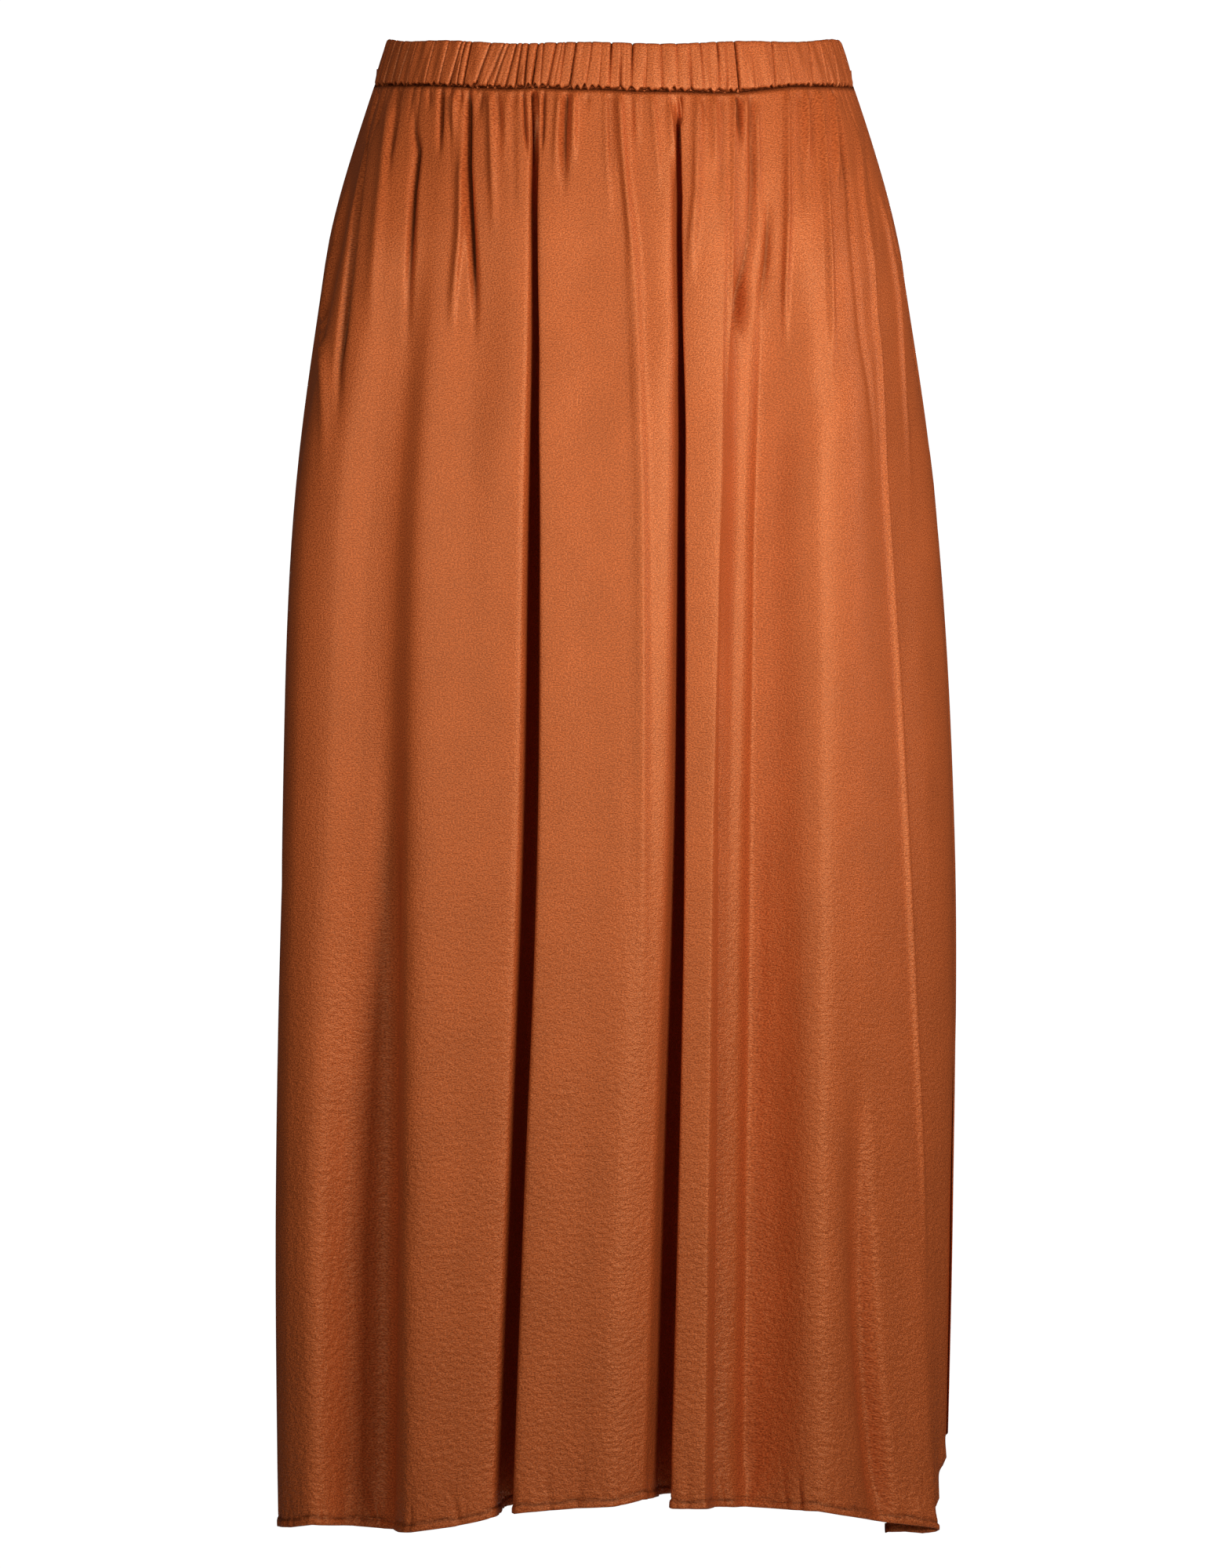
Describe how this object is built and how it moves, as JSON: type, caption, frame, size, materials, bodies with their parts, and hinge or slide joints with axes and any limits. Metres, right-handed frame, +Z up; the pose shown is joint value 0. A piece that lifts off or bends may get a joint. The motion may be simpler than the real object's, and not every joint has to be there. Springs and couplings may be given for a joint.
{
  "type": "midi skirt",
  "caption": "Satin midi skirt hanging filled out: gathered elastic waistband, deep hanging folds, narrow hem and one side slit.",
  "frame": {"origin": "centre of the waistband's ring, halfway up the band at its sides and back (the front dips 9.5 mm), where the wearer's waist holds the skirt", "axes": "+Z up, the front faces -Y, +X is the wearer's left, where the slit is"},
  "size_m": [0.365, 0.3057, 0.8033],
  "materials": {
    "satin": "copper satin, low sheen, fine woven grain"
  },
  "bodies": {
    "root": {"waistband": "satin", "front_panel": "satin", "back_panel": "satin"}
  },
  "joints": []
}
